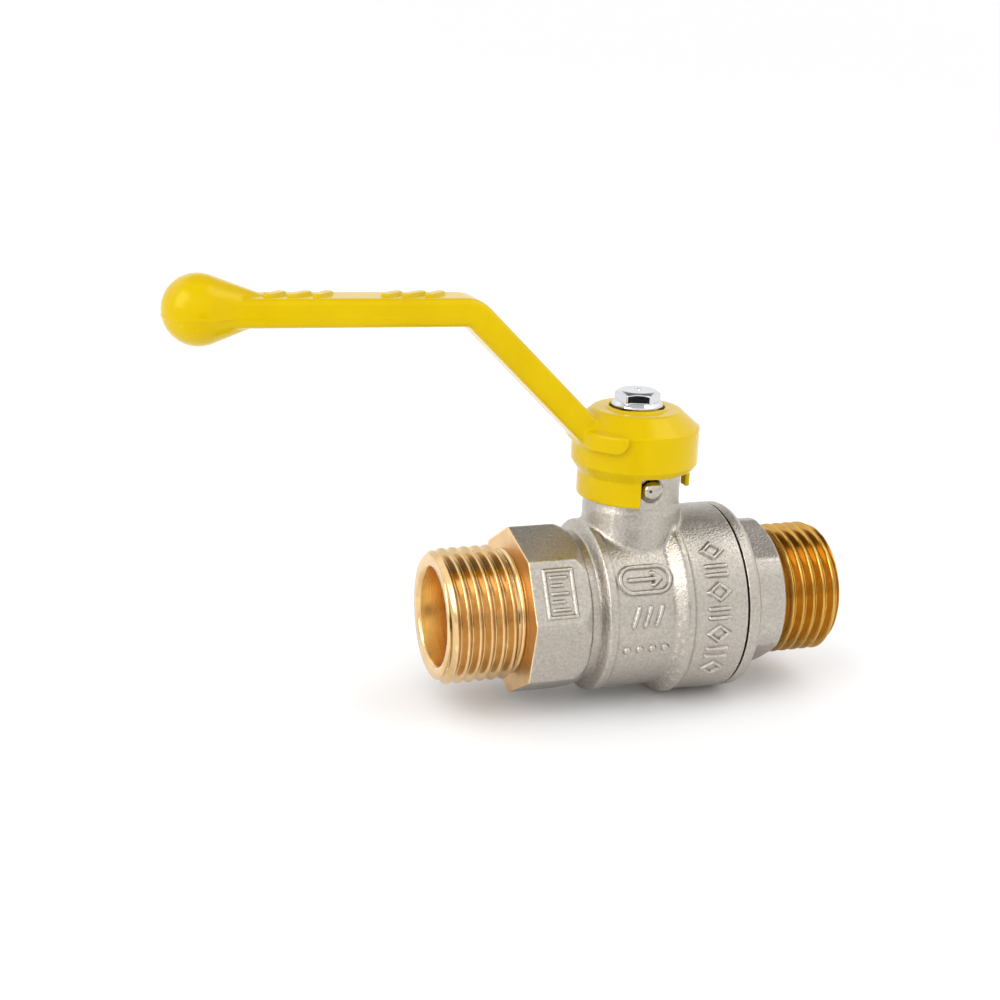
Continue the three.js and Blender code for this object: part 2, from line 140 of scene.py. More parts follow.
SCREW_HEX_HALF = 3.1
SCREW_HEX_TURN = math.radians(-19.7)
SCREW_HEAD_DROP = 0.5
SCREW_SHANK_R = 1.9

NO_MARK = 9.0
BODY_MARK_HEIGHT = 0.42
PANEL_MARK_HEIGHT = 0.3
LEVER_MARK_HEIGHT = 0.45

FINE_STEP = 0.17
SCREW_STEP = 0.11


# ------------------------------------------------------------------ distance fields
def blend_in(a, b, soft):
    """The union of two fields with a fillet of that size."""
    share = np.clip(0.5 + 0.5 * (b - a) / soft, 0, 1)
    return b * (1 - share) + a * share - soft * share * (1 - share)


def blend_cut(a, b, soft):
    """The intersection of two fields with a rounded edge."""
    return -blend_in(-a, -b, soft)


def ease(value, start, end):
    """0 before start, 1 after end, and smooth between them."""
    share = np.clip((value - start) / (end - start), 0, 1)
    return share * share * (3 - 2 * share)


def slab(value, low, high):
    """The distance outside the range from low to high, negative within it."""
    return np.maximum(low - value, value - high)


def prism(y, z, half, sides, turn, soft):
    """A regular prism along X whose first corner is swung from +Z towards -Y by turn."""
    field = None
    for i in range(sides):
        angle = turn + 2 * math.pi * (i + 0.5) / sides
        face = -y * math.sin(angle) + z * math.cos(angle) - half
        field = face if field is None else blend_cut(field, face, soft)
    return field


def outline_field(across, along, points):
    """The signed distance to a closed outline drawn in two coordinates."""
    nearest = np.full(across.shape, 1e9)
    inside = np.zeros(across.shape, bool)
    for (a0, b0), (a1, b1) in zip(points, points[1:] + points[:1]):
        run, rise = a1 - a0, b1 - b0
        share = ((across - a0) * run + (along - b0) * rise) / (run * run + rise * rise)
        share = np.clip(share, 0, 1)
        gap = (across - a0 - run * share) ** 2 + (along - b0 - rise * share) ** 2
        nearest = np.minimum(nearest, gap)
        if rise != 0:
            crossing = (along >= min(b0, b1)) & (along < max(b0, b1))
            inside ^= crossing & (across < a0 + run * (along - b0) / rise)
    return np.where(inside, -1, 1) * np.sqrt(nearest)


def bar_mark(a, b, a0, b0, a1, b1, half):
    """A raised stroke's flat distance on a surface unrolled to the coordinates a and b."""
    run, rise = a1 - a0, b1 - b0
    share = np.clip(((a - a0) * run + (b - b0) * rise) / (run * run + rise * rise), 0, 1)
    return np.hypot(a - a0 - run * share, b - b0 - rise * share) - half


def raised(field, mark, height):
    """The field with its surface lifted where the mark's flat distance is below zero."""
    return field - height * (1 - ease(mark, -0.1, 0.14))


# ------------------------------------------------------------------ meshes
CORNERS = [(i, j, k) for i in (0, 1) for j in (0, 1) for k in (0, 1)]
EDGES = [(a, b) for a in range(8) for b in range(a + 1, 8)
         if sum(abs(p - q) for p, q in zip(CORNERS[a], CORNERS[b])) == 1]


def sample(field, low, high, step):
    """The field on a grid, worked out finely only near its surface."""
    coarse, near_cells, chunk = 4, 1.9, 1_000_000
    counts = [int(math.ceil((h - l) / step / coarse)) + 1 for l, h in zip(low, high)]
    centres = [l + step * coarse * (np.arange(n) + 0.5) - step / 2 for l, n in zip(low, counts)]
    rough = field(*[c.ravel() for c in np.meshgrid(*centres, indexing="ij")]).reshape(counts)
    near = np.abs(rough) < step * coarse * near_cells
    values = rough.repeat(coarse, 0).repeat(coarse, 1).repeat(coarse, 2).astype(np.float32)
    fine = np.nonzero(near.repeat(coarse, 0).repeat(coarse, 1).repeat(coarse, 2))
    for start in range(0, len(fine[0]), chunk):
        part = tuple(axis[start:start + chunk] for axis in fine)
        values[part] = field(*[l + step * axis for l, axis in zip(low, part)])
    return values


def surface_net(field, low, high, step):
    """Vertices and quads of the field's zero surface, in millimetres."""
    values = sample(field, low, high, step)
    inside = values < 0
    cells = tuple(n - 1 for n in values.shape)
    corner = {c: tuple(slice(o, o + n) for o, n in zip(c, cells)) for c in CORNERS}
    count = sum(inside[corner[c]].astype(np.int8) for c in CORNERS)
    active = np.nonzero((count > 0) & (count < 8))
    held = np.stack([values[tuple(a + o for a, o in zip(active, c))] for c in CORNERS], 1)
    place = np.zeros((len(active[0]), 3))
    hits = np.zeros(len(active[0]))
    for a, b in EDGES:
        va, vb = held[:, a], held[:, b]
        crossed = (va < 0) != (vb < 0)
        share = np.where(crossed, va / np.where(crossed, va - vb, 1), 0)[:, None]
        spot = np.array(CORNERS[a]) + share * (np.array(CORNERS[b]) - np.array(CORNERS[a]))
        place += np.where(crossed[:, None], spot, 0)
        hits += crossed
    place = np.array(low) + step * (np.stack(active, 1) + place / hits[:, None])
    number = np.full(cells, -1, np.int32)
    number[active] = np.arange(len(active[0]))
    quads = []
    for axis in range(3):
        across = [other for other in range(3) if other != axis]
        ahead = tuple(slice(1, None) if i == axis else slice(1, -1) for i in range(3))
        behind = tuple(slice(0, -1) if i == axis else slice(1, -1) for i in range(3))
        start, end = inside[behind], inside[ahead]
        at = np.nonzero(start != end)
        flip = start[at]
        base = [np.array(a) for a in at]
        for other in across:
            base[other] = base[other] + 1
        ring = []
        for p, q in ((0, 0), (1, 0), (1, 1), (0, 1)):
            cell = list(base)
            cell[across[0]] = base[across[0]] - p
            cell[across[1]] = base[across[1]] - q
            ring.append(number[tuple(cell)])
        loop = np.stack(ring, 1)
        turned = flip if axis != 1 else ~flip
        loop[turned] = loop[turned][:, ::-1]
        quads.append(loop)
    return place, np.concatenate(quads)


def slope(field, place, reach=0.02):
    """The field's gradient at each vertex."""
    sides = []
    for axis in range(3):
        shift = np.zeros(3)
        shift[axis] = reach
        sides.append((field(*(place + shift).T) - field(*(place - shift).T)) / (2 * reach))
    return np.stack(sides, 1)


def mesh_piece(name, place, faces, material, body):
    """A Blender object from millimetre vertices, smooth shaded and riding on a body."""
    mesh = bpy.data.meshes.new(name)
    mesh.from_pydata((place * MM).tolist(), [], faces.tolist())
    mesh.polygons.foreach_set("use_smooth", np.ones(len(mesh.polygons), bool))
    mesh.materials.append(material)
    mesh.update()
    piece = bpy.data.objects.new(name, mesh)
    bpy.context.scene.collection.objects.link(piece)
    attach(piece, body)
    return piece


def skin(name, field, low, high, step, material, body):
    """A piece whose surface is where the field is zero, with its faces turned outward."""
    grow = 3 * step
    low = [value - grow for value in low]
    high = [value + grow for value in high]
    place, quads = surface_net(field, low, high, step)
    for _ in range(2):
        steep = slope(field, place)
        move = field(*place.T)[:, None] * steep / np.maximum((steep ** 2).sum(1), 0.2)[:, None]
        place -= np.clip(move, -step, step)
    corners = place[quads]
    normals = np.cross(corners[:, 2] - corners[:, 0], corners[:, 3] - corners[:, 1])
    inward = (normals * steep[quads].sum(1)).sum(1) < 0
    quads[inward] = quads[inward][:, ::-1]
    return mesh_piece(name, place, quads, material, body)


def turned_piece(name, rows, around, material, body):
    """A closed ring of rows about X; each row is an x value, or array, and a radius likewise."""
    angle = 2 * math.pi * np.arange(around) / around
    place = []
    for x, radius in rows:
        x, radius = x + 0 * angle, radius + 0 * angle
        place.append(np.stack([x, -radius * np.sin(angle), radius * np.cos(angle)], 1))
    place = np.concatenate(place)
    grid = np.arange(len(rows) * around).reshape(len(rows), around)
    nxt = np.roll(grid, -1, 0)
    faces = np.stack([grid, nxt, np.roll(nxt, -1, 1), np.roll(grid, -1, 1)], 2).reshape(-1, 4)
    a, b, c, d = (place[faces[:, i]] for i in range(4))
    if (np.cross(c - a, d - b) * (a + c)).sum() < 0:
        faces = faces[:, ::-1]
    return mesh_piece(name, place, faces, material, body)


# ------------------------------------------------------------------ materials
def srgb(red, green, blue):
    """A colour given as 0 to 255 screen values, in linear light."""
    return tuple(
        c / 12.92 if c <= 0.04045 else ((c + 0.055) / 1.055) ** 2.4
        for c in (red / 255, green / 255, blue / 255)
    ) + (1.0,)


class Look:
    """A Principled material with short calls for its texture nodes."""

    def __init__(self, name, colour, roughness, metallic, **sockets):
        self.material = bpy.data.materials.new(name)
        self.material.use_nodes = True
        self.nodes = self.material.node_tree.nodes
        self.links = self.material.node_tree.links
        self.shader = self.nodes["Principled BSDF"]
        self.set("Base Color", colour)
        self.set("Roughness", roughness)
        self.set("Metallic", metallic)
        for socket, value in sockets.items():
            self.set(socket.replace("_", " "), value)
        self.place = self.nodes.new("ShaderNodeTexCoord").outputs["Object"]

    def set(self, socket, value):
        self.shader.inputs[socket].default_value = value

    def noise(self, scale, detail, stretch=(1, 1, 1)):
        """Noise in the part's own frame; scale is in features per metre."""
        node = self.nodes.new("ShaderNodeTexNoise")
        node.inputs["Scale"].default_value = scale
        node.inputs["Detail"].default_value = detail
        node.inputs["Roughness"].default_value = 0.55
        mapping = self.nodes.new("ShaderNodeMapping")
        mapping.inputs["Scale"].default_value = stretch
        self.links.new(self.place, mapping.inputs["Vector"])
        self.links.new(mapping.outputs["Vector"], node.inputs["Vector"])
        return node.outputs["Fac"]

    def ramp(self, source, stops):
        """A colour ramp from (position, colour or grey level) stops."""
        node = self.nodes.new("ShaderNodeValToRGB")
        while len(node.color_ramp.elements) < len(stops):
            node.color_ramp.elements.new(0.5)
        for element, (at, colour) in zip(node.color_ramp.elements, stops):
            element.position = at
            element.color = colour if isinstance(colour, tuple) else (colour, colour, colour, 1)
        self.links.new(source, node.inputs["Fac"])
        return node.outputs["Color"]

    def crease_shade_edge_highlight(self, colour, creases, edges):
        """The colour with painted shade darkening its creases and painted highlights lightening its
        edges.
        """
        form = self.nodes.new("ShaderNodeNewGeometry").outputs["Pointiness"]
        shade = self.ramp(form, [(0.43, creases), (0.492, 1.0), (0.51, 1.0), (0.56, edges)])
        mix = self.nodes.new("ShaderNodeVectorMath")
        mix.operation = "MULTIPLY"
        self.links.new(colour, mix.inputs[0])
        self.links.new(shade, mix.inputs[1])
        return mix.outputs["Vector"]

    def drive(self, socket, source):
        self.links.new(source, self.shader.inputs[socket])

    def bump(self, *layers):
        """Bump from (height source, strength, distance in metres) layers."""
        normal = None
        for source, strength, distance in layers:
            node = self.nodes.new("ShaderNodeBump")
            node.inputs["Strength"].default_value = strength
            node.inputs["Distance"].default_value = distance
            self.links.new(source, node.inputs["Height"])
            if normal is not None:
                self.links.new(normal, node.inputs["Normal"])
            normal = node.outputs["Normal"]
        self.links.new(normal, self.shader.inputs["Normal"])


def nickel_look(name, rough, grain_height):
    """Satin nickel over a fine cast skin, with painted shade in its creases and painted highlights
    on its edges.
    """
    look = Look(name, srgb(184, 177, 167), rough, 1.0)
    tone = look.ramp(look.noise(2300, 4), [(0.3, srgb(168, 160, 149)), (0.7, srgb(191, 185, 176))])
    # painted shade in the creases and painted highlights along the edges of the nickel
    look.drive("Base Color", look.crease_shade_edge_highlight(tone, 0.3, 1.25))
    spread = [(0.35, rough * 0.8), (0.7, rough * 1.2)]
    look.drive("Roughness", look.ramp(look.noise(420, 4), spread))
    look.bump((look.noise(2600, 4), 0.5, grain_height))
    return look.material


def brass_look(name, low, high, rough):
    """Machined brass with rings left by the turning tool."""
    look = Look(name, high, rough, 1.0)
    turning = look.noise(4200, 2, stretch=(1, 0.015, 0.015))
    tone = look.ramp(look.noise(300, 4), [(0.3, low), (0.7, high)])
    # painted shade in the creases and painted highlights along the edges of the brass
    look.drive("Base Color", look.crease_shade_edge_highlight(tone, 0.6, 1.2))
    look.drive("Roughness", look.ramp(turning, [(0.35, rough * 0.75), (0.7, rough * 1.3)]))
    look.bump((turning, 0.06, 0.00006))
    return look.material


def paint_look():
    """Thick glossy enamel, with the slight orange peel of a dipped casting."""
    look = Look("yellow_paint", srgb(205, 172, 0), 0.15, 0.0,
                Specular_IOR_Level=0.3, Specular_Tint=(0.9, 1.0, 0.25, 1.0))
    tone = look.ramp(look.noise(130, 3), [(0.3, srgb(202, 168, 0)), (0.7, srgb(208, 176, 0))])
    # faint painted shade in the creases and faint painted highlights along the edges of the enamel
    look.drive("Base Color", look.crease_shade_edge_highlight(tone, 0.97, 1.06))
    look.drive("Roughness", look.ramp(look.noise(500, 3), [(0.3, 0.12), (0.7, 0.2)]))
    look.bump((look.noise(750, 2), 0.08, 0.00012))
    return look.material


def zinc_look():
    """Bright zinc plate, slightly rippled."""
    look = Look("bright_zinc", srgb(205, 206, 210), 0.06, 1.0)
    grain = look.noise(1500, 3)
    look.drive("Roughness", look.ramp(grain, [(0.35, 0.03), (0.7, 0.1)]))
    look.bump((look.noise(900, 3), 0.15, 0.00006))
    return look.material


def chrome_look():
    """Polished chrome with faint swirls."""
    look = Look("polished_chrome", srgb(222, 224, 228), 0.06, 1.0)
    swirl = look.noise(900, 4, stretch=(0.1, 1, 1))
    look.drive("Roughness", look.ramp(swirl, [(0.4, 0.04), (0.8, 0.14)]))
    return look.material


def ptfe_look():
    """Waxy white PTFE with turning marks."""
    look = Look("ptfe", srgb(240, 238, 230), 0.45, 0.0, Subsurface_Weight=0.1)
    turning = look.noise(2400, 2)
    look.drive("Roughness", look.ramp(turning, [(0.3, 0.4), (0.7, 0.55)]))
    look.bump((turning, 0.1, 0.00005))
    return look.material


def rubber_look():
    """Matt black rubber."""
    look = Look("nitrile_rubber", srgb(28, 28, 29), 0.7, 0.0)
    grain = look.noise(3000, 3)
    look.drive("Roughness", look.ramp(grain, [(0.3, 0.6), (0.7, 0.8)]))
    look.bump((grain, 0.2, 0.00005))
    return look.material


NICKEL = nickel_look("nickel_plate", 0.34, 0.0002)
RUBBED = nickel_look("rubbed_nickel", 0.13, 0.00003)
BRASS = brass_look("bare_brass", srgb(204, 168, 116), srgb(222, 190, 140), 0.17)
# a darker, more orange copy of the bare brass: painted shade for the outlet thread on the valve's
# shaded right end
SHADED_BRASS = brass_look("shaded_brass", srgb(188, 144, 66), srgb(202, 158, 80), 0.17)
FACED = brass_look("faced_brass", srgb(222, 186, 132), srgb(232, 200, 150), 0.4)
# brass for the inside of the bores: its higher roughness is the bored finish, its darker, more
# orange colour is painted shade inside the bore
BORE_SHADED_BRASS = brass_look("bore_shaded_brass", srgb(190, 142, 70), srgb(205, 158, 84), 0.36)
PAINT = paint_look()
ZINC = zinc_look()
CHROME = chrome_look()
PTFE = ptfe_look()
RUBBER = rubber_look()


# ------------------------------------------------------------------ camera, floor and light
CAMERA_ANGLES = (-19.69, 16.91, 2.19)
CAMERA_DISTANCE = 0.2755
CAMERA_ASIDE = -0.01993
CAMERA_ABOVE = 0.01591
SENSOR_WIDTH = 36
FOCAL_SHARE = 1.7292
FLOOR_HALF = 60.0
CARD_DISTANCE = 0.15
CARD_HALF = 0.03


def studio_camera():
    """The photograph's view, found from the threads, the bore and the hub's rings."""
    azimuth, elevation, roll = (math.radians(a) for a in CAMERA_ANGLES)
    back = Vector((math.sin(azimuth) * math.cos(elevation),
                   -math.cos(azimuth) * math.cos(elevation), math.sin(elevation)))
    level = Vector((math.cos(azimuth), math.sin(azimuth), 0))
    upright = back.cross(level)
    right = level * math.cos(roll) + upright * math.sin(roll)
    up = upright * math.cos(roll) - level * math.sin(roll)
    data = bpy.data.cameras.new("studio_camera")
    data.sensor_width = SENSOR_WIDTH
    data.lens = FOCAL_SHARE * data.sensor_width
    camera = bpy.data.objects.new("studio_camera", data)
    turn = Matrix((right, up, back)).transposed().to_4x4()
    place = back * CAMERA_DISTANCE + right * CAMERA_ASIDE + up * CAMERA_ABOVE
    camera.matrix_world = Matrix.Translation(place) @ turn
    bpy.context.scene.collection.objects.link(camera)
    bpy.context.scene.camera = camera


def studio_floor():
    """A plain pale floor just under the chamber, wide enough to hide its edge."""
    half = FLOOR_HALF
    mesh = bpy.data.meshes.new("floor")
    height = -CHAMBER_R * MM - 0.0001
    corners = [(-half, -half, height), (half, -half, height),
               (half, half, height), (-half, half, height)]
    mesh.from_pydata(corners, [], [(0, 1, 2, 3)])
    look = Look("pale_floor", srgb(228, 228, 229), 0.6, 0.0)
    look.drive("Roughness", look.ramp(look.noise(30, 2), [(0.3, 0.55), (0.7, 0.65)]))
    mesh.materials.append(look.material)
    floor = bpy.data.objects.new("floor", mesh)
    bpy.context.scene.collection.objects.link(floor)


def softbox(name, place, target, size, watts):
    """A rectangular white light at a place, turned towards a target."""
    data = bpy.data.lights.new(name, "AREA")
    data.shape = "RECTANGLE"
    data.size, data.size_y = size
    data.energy = watts
    light = bpy.data.objects.new(name, data)
    light.location = place
    aim = Vector(target) - Vector(place)
    light.rotation_euler = aim.to_track_quat("-Z", "Y").to_euler()
    bpy.context.scene.collection.objects.link(light)
    return light


def around(azimuth, elevation, distance):
    """A place at that compass angle from the valve's front, with its right side positive."""
    turn, lift = math.radians(azimuth), math.radians(elevation)
    return (distance * math.sin(turn) * math.cos(lift) - 0.01,
            -distance * math.cos(turn) * math.cos(lift), distance * math.sin(lift) + 0.01)


def studio_sky():
    """A pale surround: bright low down, dimmer overhead, dimmest high behind the valve."""
    world = bpy.data.worlds.new("studio")
    world.use_nodes = True
    nodes, links = world.node_tree.nodes, world.node_tree.links
    way = nodes.new("ShaderNodeTexCoord").outputs["Generated"]
    split = nodes.new("ShaderNodeSeparateXYZ")
    links.new(way, split.inputs[0])
    ramp = nodes.new("ShaderNodeValToRGB")
    stops = ((0.0, 1.0), (0.3, 1.15), (0.64, 1.5), (0.88, 0.75))
    while len(ramp.color_ramp.elements) < len(stops):
        ramp.color_ramp.elements.new(0.5)
    for element, (at, level) in zip(ramp.color_ramp.elements, stops):
        element.position = at
        element.color = (level, level, level, 1)
    links.new(split.outputs["Z"], ramp.inputs["Fac"])
    aim = nodes.new("ShaderNodeVectorMath")
    aim.operation = "DOT_PRODUCT"
    aim.inputs[1].default_value = (0.25, 0.5, 0.83)
    links.new(way, aim.inputs[0])
    dim = nodes.new("ShaderNodeMapRange")
    dim.interpolation_type = "SMOOTHSTEP"
    for socket, value in (("From Min", 0.8), ("From Max", 0.96), ("To Min", 1.0), ("To Max", 0.28)):
        dim.inputs[socket].default_value = value
    links.new(aim.outputs["Value"], dim.inputs["Value"])
    scale = nodes.new("ShaderNodeVectorMath")
    scale.operation = "SCALE"
    links.new(ramp.outputs["Color"], scale.inputs[0])
    links.new(dim.outputs["Result"], scale.inputs["Scale"])
    links.new(scale.outputs["Vector"], nodes["Background"].inputs["Color"])
    nodes["Background"].inputs["Strength"].default_value = 1.0
    bpy.context.scene.world = world


def dark_card():
    """A small black card in front, hidden from the camera, which the bright metal reflects."""
    mesh = bpy.data.meshes.new("dark_card")
    low, high = -0.0148, 0.05
    aside = Vector((math.cos(math.radians(19.7)), -math.sin(math.radians(19.7)), 0)) * CARD_HALF
    centre = Vector((-0.337, -0.941, 0)) * CARD_DISTANCE
    corners = [centre - aside, centre + aside]
    places = [(c.x, c.y, z) for z in (low, high) for c in (corners if z == low else corners[::-1])]
    mesh.from_pydata(places, [], [(0, 1, 2, 3)])
    mesh.materials.append(Look("black_card", (0.004, 0.004, 0.004, 1), 0.9, 0.0).material)
    card = bpy.data.objects.new("dark_card", mesh)
    bpy.context.scene.collection.objects.link(card)
    card.visible_camera = False
    card.visible_shadow = False
    card.visible_diffuse = False


def studio_light():
    """Two keys not seen in reflections, two boxes seen only there, a floor light and a tent."""
    middle = (-0.01, 0, 0.01)
    for light in (softbox("left_key", around(-60, 42, 0.8), middle, (0.6, 0.6), 1.9),
                  softbox("right_key", around(76, 50, 0.8), middle, (0.6, 0.6), 1.3)):
        light.visible_glossy = False
    for light in (softbox("left_box", around(-74, 33, 0.7), middle, (0.4, 0.55), 2.3),
                  softbox("right_box", around(76, 57, 0.7), middle, (0.3, 0.36), 0.7)):
        light.visible_diffuse = False
    floor_sun()
    studio_sky()
    dark_card()
    bpy.context.scene.view_settings.view_transform = "Standard"


def floor_sun():
    """A very wide, soft sun from above that lights the floor only, so it stays plain white."""
    data = bpy.data.lights.new("floor_light", "SUN")
    data.energy = 0.95
    data.angle = math.radians(120)
    sun = bpy.data.objects.new("floor_light", data)
    bpy.context.scene.collection.objects.link(sun)
    floor_only = bpy.data.collections.new("floor_only")
    floor_only.objects.link(bpy.data.objects["floor"])
    sun.light_linking.receiver_collection = floor_only


# ------------------------------------------------------------------ valve body
def barrel_radius(x):
    """The body's turned outline: a groove, a bead, the band, a second bead and the chamber."""
    bead = BARREL_R + BEAD_RISE * ease(x, -9.1, -7.8) - BEAD_DROP * ease(x, -7.0, -6.4)
    chamber = 1.68 * ease(x, 2.2, 4.6) - 0.38 * ease(x, 5.0, 5.8) + 0.18 * ease(x, 6, 12)
    return bead + chamber


def strokes(a, b, lines, half):
    """The flat distance to a set of raised strokes."""
    marks = np.full(a.shape, NO_MARK)
    for line in lines:
        marks = np.minimum(marks, bar_mark(a, b, *line, half))
    return marks


def flow_mark(a, b):
    """A long ring around an arrow that points to the outlet."""
    across = np.maximum(np.abs(a) - 2.1, 0)
    ring = np.abs(np.hypot(across, b) - 2.0) - 0.26
    arrow = strokes(a, b, ((-2.6, 0, 2.5, 0), (2.5, 0, 1.3, -0.95), (2.5, 0, 1.3, 0.95)), 0.26)
    return np.minimum(ring, arrow)


def edge_pattern(a, b):
    """A column of raised diamonds and paired bars along the chamber."""
    marks = np.full(a.shape, NO_MARK)
    for i in range(7):
        down = b + 12.2 - 3.3 * i
        if i % 2 == 0:
            marks = np.minimum(marks, np.abs(np.abs(a) * 0.6 + np.abs(down) * 0.8 - 1.0) - 0.22)
        else:
            lines = ((-1.6, -0.7, 1.6, -0.7), (-1.6, 0.7, 1.6, 0.7))
            marks = np.minimum(marks, strokes(a, down, lines, 0.26))
    return marks


def body_marks(field, x, y, z):
    """Plain raised marks on the front: a flow arrow, strokes, dots and the edge pattern."""
    angle = np.arctan2(-y, z) - math.radians(90)
    a, b = x + 1.9, BAND_R * angle
    marks = flow_mark(a, b + 7.9)
    for i in range(3):
        c = 1.9 * i - 1.9
        marks = np.minimum(marks, strokes(a, b + 2.2, ((c - 0.5, 1.4, c + 0.5, -1.4),), 0.25))
    for i in range(4):
        c = 2.1 * i - 3.15
        marks = np.minimum(marks, np.hypot(a - c, b - 3.1) - 0.5)
    marks = np.minimum(marks, edge_pattern(x - 9.5, CHAMBER_R * angle))
    front = (y < 0) & (x > -9)
    return np.where(front, raised(field, marks, BODY_MARK_HEIGHT), field)


def octagon_field(x, y, z):
    """The wrench octagon, with its corners turned down towards the groove."""
    faces = prism(y, z, OCTAGON_HALF, 8, OCTAGON_TURN, 0.25)
    spread = np.hypot(y, z)
    limit = spread - (OCTAGON_CORNER_R - np.clip((x - OCTAGON_CHAMFER_X) / 2.2, 0, 2))
    field = blend_cut(faces, limit, 0.25)
    return blend_cut(field, x - OCTAGON_RIGHT_X, 0.35)


def panel_marks(field, x, y, z):
    """A raised frame of plain ticks on the octagon's front facet."""
    turn = OCTAGON_TURN + 2 * math.pi * 1.5 / 8
    along = y * -math.cos(turn) - z * math.sin(turn)
    front = -y * math.sin(turn) + z * math.cos(turn)
    a, b = x + 15.4, along
    outline = np.abs(np.maximum(np.abs(a) - 2.2, np.abs(b) - 3.6)) - 0.2
    ticks = np.full(x.shape, NO_MARK)
    for i in range(5):
        centre = -2.5 + 1.25 * i
        end = 1.2 - 0.7 * (i % 2)
        ticks = np.minimum(ticks, bar_mark(a, b, -1.2, centre, end, centre, 0.2))
    marks = np.minimum(outline, ticks)
    return np.where(front > 11, raised(field, marks, PANEL_MARK_HEIGHT), field)


def body_outside(x, y, z):
    """Barrel, octagon, marks, neck and stop button."""
    spread = np.hypot(y, z)
    barrel = spread - barrel_radius(x)
    barrel = blend_cut(barrel, x - BODY_END_X, 0.3)
    octagon = panel_marks(octagon_field(x, y, z), x, y, z)
    field = blend_in(barrel, octagon, 0.35)
    field = body_marks(field, x, y, z)
    ring = np.hypot(x, y)
    flare = 0.35 * ease(-z, -14.5, -11)
    step = (NECK_R - NECK_UPPER_R) * ease(z, NECK_STEP_Z - 1.6, NECK_STEP_Z)
    neck = ring - NECK_R - flare + step
    neck = blend_cut(neck, z - NECK_TOP_Z, 0.4)
    neck = np.maximum(neck, 2 - z)
    field = blend_in(field, neck, 0.6)
    return blend_in(field, stop_button(x, y, z), 0.2)


def stop_button(x, y, z):
    """The round-ended button on the neck that stops the lever."""
    reach = np.hypot(x, z - STOP_Z)
    dome = np.hypot(reach, np.maximum(-y - STOP_TIP + STOP_R, 0)) - STOP_R
    return np.maximum(dome, y + 5)


def body_inside(x, y, z):
    """The space within: passage, inlet seat, ball, the connector's spigot and the stem bore."""
    limit = np.where(x < SEAT_FRONT_X, BALL_SPACE_R, SPIGOT_SPACE_R)
    limit = np.where(x < -SEAT_FRONT_X, SEAT_R, limit)
    limit = np.where(x < -SEAT_BACK_X, PASSAGE_R, limit)
    stem = np.maximum(np.hypot(x, y) - STEM_BORE_R, -z)
    return np.minimum(np.hypot(y, z) - limit, stem)


def body_shell_field(x, y, z):
    field = np.maximum(body_outside(x, y, z), -body_inside(x, y, z))
    return np.maximum(field, OCTAGON_LEFT_X - x)


def body_shell():
    step = FINE_STEP
    low = (OCTAGON_LEFT_X, -CHAMBER_R, -CHAMBER_R)
    high = (BODY_END_X, CHAMBER_R, NECK_TOP_Z)
    shell = skin("body_shell", body_shell_field, low, high, step, NICKEL, "body")
    shell.data.materials.append(FACED)
    shell.data.materials.append(RUBBED)
    for face in shell.data.polygons:
        if face.normal.x < -0.6 and face.center.x < (OCTAGON_LEFT_X + 0.15) * MM:
            face.material_index = 1
        elif face.center.y < (-STOP_TIP + RUBBED_DEPTH) * MM and face.center.z > RUBBED_LOW_Z * MM:
            face.material_index = 2
    return shell


def thread_depth(x, angle, phase):
    """How far below its crests a right-hand thread about X lies, flat only at crest and root."""
    turn = (x - phase) / THREAD_PITCH - angle / (2 * math.pi)
    wave = np.abs((turn - np.floor(turn)) - 0.5) * 2
    flank = np.clip((1 - wave - 0.06) / 0.86, 0, 1)
    return (THREAD_MAJOR_R - THREAD_MINOR_R) * (0.4 * flank + 0.6 * flank * flank * (3 - 2 * flank))


def threaded_end(name, face_x, inner_x, runout, phase, brass):
    """Bore, end face, chamfer, thread and relief of one pipe end, as one closed ring."""
    angle = 2 * math.pi * np.arange(THREAD_SIDES) / THREAD_SIDES
    into = 1 if runout > face_x else -1
    rows = [(inner_x, BORE_R), (face_x + into * 0.5, BORE_R), (face_x + into * 0.12, BORE_R + 0.28),
            (face_x, BORE_R + 0.4), (face_x, 9.55)]
    steps = int(abs(runout - face_x) / THREAD_ROW_GAP)
    for i in range(1, steps + 1):
        x = face_x + (runout - face_x) * i / steps
        crest = THREAD_MAJOR_R - thread_depth(x, angle, phase)
        crest = np.minimum(crest, 9.6 + abs(x - face_x) * 0.9)
        rows.append((x, np.minimum(crest, THREAD_RELIEF_R + abs(x - runout) * 1.6)))
    collar = runout + into * 0.35
    rows += [(collar, THREAD_RELIEF_R), (collar + into * 0.1, 9.75), (collar + into * 0.5, 9.75),
             (collar + into * 0.6, 9.4), (collar + into * 1.2, THREAD_RELIEF_R),
             (inner_x, THREAD_RELIEF_R)]
    piece = turned_piece(name, rows, THREAD_SIDES, brass, "body")
    # the bore's faces get the brass with painted shade inside the bore
    piece.data.materials.append(BORE_SHADED_BRASS)
    for face in piece.data.polygons:
        if math.hypot(face.center.y, face.center.z) < (BORE_R + 0.1) * MM:
            face.material_index = 1
    return piece


def inlet_thread():
    piece = threaded_end("inlet_thread", INLET_X, -SEAT_BACK_X, -21.2, -29.89, BRASS)


